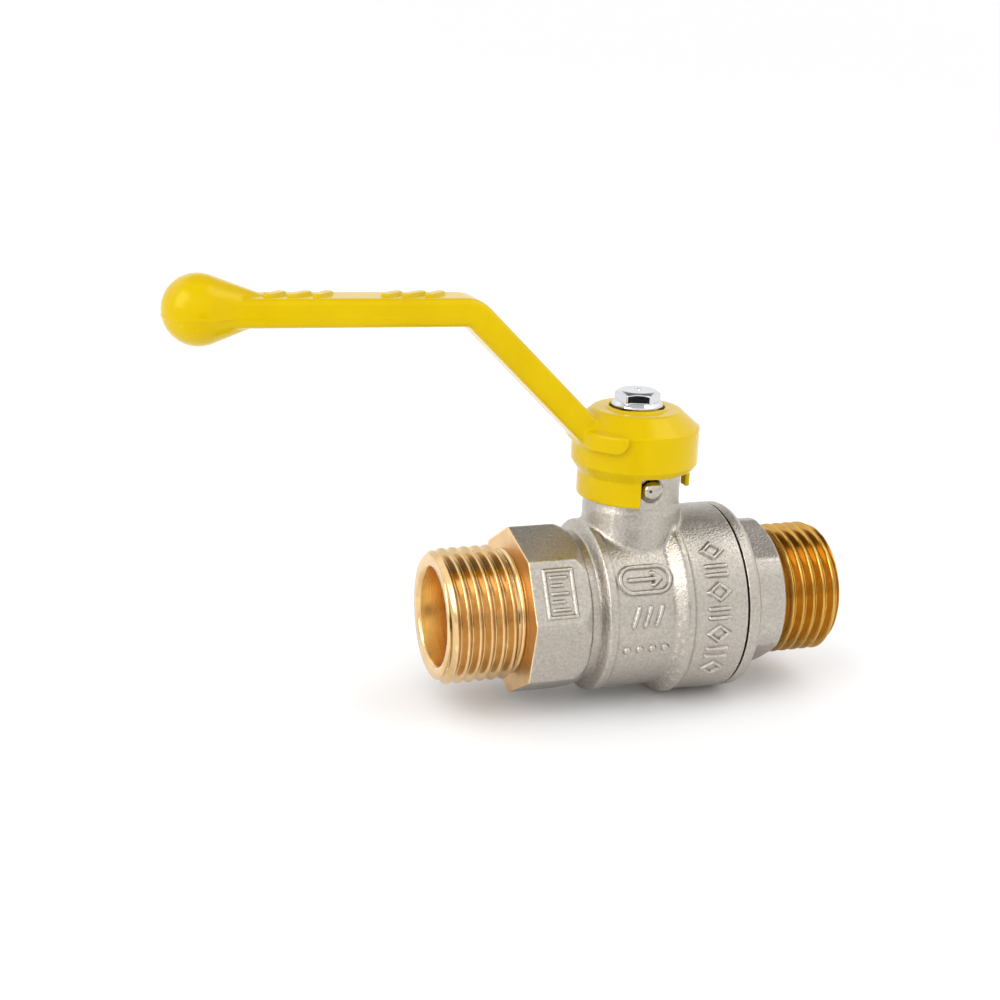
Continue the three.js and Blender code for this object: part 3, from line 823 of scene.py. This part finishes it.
# ------------------------------------------------------------------ end connector
def link_field(x, y, z):
    """Rim ring, wrench hexagon and spigot of the end connector, around its passage."""
    spread = np.hypot(y, z)
    flange = outline_field(spread, x, [
        (5.0, BODY_END_X + 0.3), (CHAMBER_R, BODY_END_X + 0.3), (CHAMBER_R, 15.9),
        (CHAMBER_R - 0.25, 16.5), (CHAMBER_R - 0.9, 17.0), (CHAMBER_R - 1.6, FLANGE_RIGHT_X),
        (5.0, FLANGE_RIGHT_X)])
    clip = spread - (HEX_CLIP_R - 1.2 * ease(x, HEX_RIGHT_X - 1.0, HEX_RIGHT_X))
    nut = blend_cut(prism(y, z, HEX_HALF, 6, HEX_TURN, 0.2), clip, 0.25)
    nut = blend_cut(nut, slab(x, FLANGE_RIGHT_X - 1, HEX_RIGHT_X), 0.3)
    spigot = np.maximum(spread - SPIGOT_R, slab(x, SPIGOT_LEFT_X, BODY_END_X + 1))
    field = np.minimum(blend_in(flange, nut, 0.6), spigot)
    inner = np.where(x < SEAT_BACK_X, SEAT_R, PASSAGE_R)
    return np.maximum(field, inner - spread)


def connector():
    step = FINE_STEP
    low = (SPIGOT_LEFT_X, -CHAMBER_R, -CHAMBER_R)
    high = (HEX_RIGHT_X, CHAMBER_R, CHAMBER_R)
    piece = skin("connector_shell", link_field, low, high, step, NICKEL, "body")
    return piece


def outlet_thread():
    # the outlet thread gets the darker brass copy that paints the shade on the right end
    piece = threaded_end("outlet_thread", OUTLET_X, SEAT_BACK_X, HEX_RIGHT_X + 0.6, 27.8,
                         SHADED_BRASS)


# ------------------------------------------------------------------ lever
def round_cone(x, y, z, start, end, r0, r1):
    """A ball of radius r0 at start joined by its tangent cone to one of r1 at end."""
    run = np.array(end) - np.array(start)
    length = np.linalg.norm(run)
    way = run / length
    px, py, pz = x - start[0], y - start[1], z - start[2]
    along = px * way[0] + py * way[1] + pz * way[2]
    aside = np.sqrt(np.maximum(px ** 2 + py ** 2 + pz ** 2 - along ** 2, 0))
    sine = (r0 - r1) / length
    cosine = math.sqrt(1 - sine * sine)
    reach = along * cosine - aside * sine
    cone = aside * cosine + along * sine - r0
    near = np.hypot(along, aside) - r0
    far = np.hypot(along - length, aside) - r1
    return np.where(reach < 0, near, np.where(reach > length * cosine, far, cone))


def arm_path():
    """The arm's middle line, with its bend rounded."""
    bend = np.array(ARM_BEND)
    into, out = (bend + ARM_BEND_REACH * (end - bend) / np.linalg.norm(end - bend)
                 for end in (np.array(ARM_ROOT), np.array(KNOB)))
    shares = [i / 5 for i in range(6)]
    curve = [(1 - t) ** 2 * into + 2 * t * (1 - t) * bend + t * t * out for t in shares]
    return [ARM_ROOT] + [tuple(place) for place in curve] + [KNOB]


def arm_field(x, y, z):
    """The flat bar along its bent middle line, a little wider at the mould's parting line."""
    path = arm_path()
    across = None
    for (x0, z0), (x1, z1) in zip(path, path[1:]):
        length = math.hypot(x1 - x0, z1 - z0)
        way = ((x1 - x0) / length, (z1 - z0) / length)
        along = (x - x0) * way[0] + (z - z0) * way[1]
        off = (x - x0) * way[1] - (z - z0) * way[0]
        beyond = np.maximum(np.maximum(-along, along - length), 0)
        gap = np.hypot(beyond, off)
        if across is None:
            across, side = gap, off
        else:
            closer = gap < across
            across, side = np.where(closer, gap, across), np.where(closer, off, side)
    half = np.where(side > 0, ARM_HALF_LOWER, ARM_HALF_UPPER)
    wide = ARM_HALF_Y - 0.1 * np.abs(side + 0.7)
    qa = across - (half - ARM_EDGE_R)
    qb = np.abs(y) - (wide - ARM_EDGE_R)
    outer = np.hypot(np.maximum(qa, 0), np.maximum(qb, 0))
    return outer + np.minimum(np.maximum(qa, qb), 0) - ARM_EDGE_R


def hub_field(x, y, z):
    """The hub with its raised pad, its skirt and the window that the stop button stands in."""
    ring = np.hypot(x, y)
    cap = outline_field(ring, z, [
        (-1, 20), (SKIRT_R - 0.5, 20), (SKIRT_R, 21.7), (HUB_R - 0.35, HUB_BOTTOM_Z),
        (HUB_R, HUB_BOTTOM_Z + 0.6), (HUB_R, HUB_EDGE_Z), (6.9, HUB_TOP_Z - 0.1), (6.5, HUB_TOP_Z),
        (-1, HUB_TOP_Z)])
    pad = blend_cut(ring - 4.85, z - PAD_Z, 0.25)
    pad = np.maximum(pad, 28 - z)
    skirt = blend_cut(ring - SKIRT_R, SKIRT_BOTTOM_Z - z, 0.5)
    skirt = np.maximum(skirt, z - HUB_BOTTOM_Z)
    body = np.minimum(blend_in(cap, pad, 0.25), skirt)
    angle = np.degrees(np.arctan2(y, x))
    sides = (np.abs(angle + 45) - 59.5) * ring * math.pi / 180
    window = np.maximum(sides, z - HUB_BOTTOM_Z + 0.4)
    window = np.maximum(window, 6 - ring)
    return blend_cut(body, -window, 0.3)


def lever_field(x, y, z):
    """Hub, ears, arm and knob in one casting, hollow below and pierced for the stem."""
    ring = np.hypot(x, y)
    field = hub_field(x, y, z)
    low = EAR_LOW_Z + 1.5 * ease(x, -6.6, -4.6)
    ear = blend_cut(ring - EAR_R, slab(z, low, EAR_TOP_Z), 0.5)
    ear = blend_cut(ear, slab(x, *EAR_X), 0.9)
    ear = blend_cut(ear, np.abs(y) - EAR_HALF_Y, 0.5)
    field = blend_in(field, ear, 0.35)
    field = blend_in(field, arm_field(x, y, z), 0.6)
    start = (KNOB[0], 0, KNOB[1])
    knob = round_cone(x, y, z, start, (KNOB[0] + 8.8, 0, KNOB[1] - 0.1), KNOB_R - 0.08, 2.0)
    seam = np.abs(z - KNOB[1] + 0.7)
    knob = knob - 0.09 * (1 - ease(seam, 0.05, 0.3))
    field = blend_in(field, knob, 0.4)
    field = lever_marks(field, x, y, z)
    recess = np.maximum(ring - RECESS_R, z - RECESS_Z)
    hole = np.maximum(ring - STEM_HOLE_R, np.abs(y) - STEM_FLAT_HALF)
    return np.maximum(np.maximum(field, -recess), -hole)


def lever_marks(field, x, y, z):
    """Raised plain slanted bars along the top, each with its middle and half length in x."""
    marks = np.full(x.shape, NO_MARK)
    bars = ((-56.5, 1.1), (-53.0, 1.3), (-49.6, 1.0), (-39.5, 1.1), (-36.2, 1.4), (-33.0, 1.1))
    for centre, half in bars:
        marks = np.minimum(marks, bar_mark(x, y, centre - half, -1.0, centre + half, 1.0, 0.7))
    return np.where(z > 48.8, raised(field, marks, LEVER_MARK_HEIGHT), field)


def tab_field(x, y, z):
    """The narrow lug under the hub's rim, outside the circle of the skirt."""
    ring = np.hypot(x, y)
    angle = np.degrees(np.arctan2(y, x))
    lug = blend_cut(slab(ring, *LUG_R), slab(z, LUG_BOTTOM_Z, 24), 0.3)
    return blend_cut(lug, (np.abs(angle - 3.5) - 5.5) * ring * math.pi / 180, 0.3)


def lever():
    step = FINE_STEP
    low = (KNOB_TIP_X - 0.3, -EAR_R, SKIRT_BOTTOM_Z)
    high = (HUB_R, EAR_R, KNOB[1] + KNOB_R)

    def field(x, y, z):
        return blend_in(lever_field(x, y, z), tab_field(x, y, z), 0.3)

    piece = skin("lever_casting", field, low, high, step, PAINT, "handle")
    return piece


# ------------------------------------------------------------------ lever screw
def screw_field(x, y, z):
    """A flange screw with a chamfered hexagon head, a centre dimple and a plain shank."""
    ring = np.hypot(x, y)
    seat = PAD_Z + 0.05
    flange = outline_field(ring, z, [
        (-1, seat), (SCREW_R - 0.1, seat), (SCREW_R, seat + 0.15), (SCREW_R - 0.1, seat + 0.4),
        (3.4, seat + 0.85), (-1, seat + 0.85)])
    hexagon = prism(-y, x, SCREW_HEX_HALF, 6, SCREW_HEX_TURN, 0.1)
    top = SCREW_TOP_Z - SCREW_HEAD_DROP
    hexagon = blend_cut(hexagon, slab(z, seat, top), 0.1)
    head = blend_cut(hexagon, (ring - 2.75) * 0.5 + (z - top) * 0.866, 0.1)
    dimple = np.hypot(ring, z - top - 0.1) - 0.6
    head = blend_cut(head, -dimple, 0.1)
    shank = np.maximum(ring - SCREW_SHANK_R, slab(z, SCREW_BOTTOM_Z, seat + 0.5))
    return np.minimum(blend_in(flange, head, 0.15), shank)


def lever_screw():
    low = (-SCREW_R, -SCREW_R, SCREW_BOTTOM_Z)
    high = (SCREW_R, SCREW_R, SCREW_TOP_Z)
    piece = skin("screw", screw_field, low, high, SCREW_STEP, ZINC, "handle")
    return piece


# ------------------------------------------------------------------ assembly
def paint_node(node, material):
    """A CAD node that stays as it is and gets its finish."""
    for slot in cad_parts[node].material_slots:
        slot.material = material


studio_camera()
studio_floor()
studio_light()
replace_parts(body_shell(), "valve_body")
inlet_thread()
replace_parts(connector(), "end_connector")
outlet_thread()
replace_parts(lever(), "lever")
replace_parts(lever_screw(), "lever_screw")
paint_node("ball", CHROME)
paint_node("seat_ring_inlet", PTFE)
paint_node("seat_ring_outlet", PTFE)
paint_node("stem", BRASS)
paint_node("stem_thrust_washer", PTFE)
paint_node("stem_o_ring_lower", RUBBER)
paint_node("stem_o_ring_upper", RUBBER)
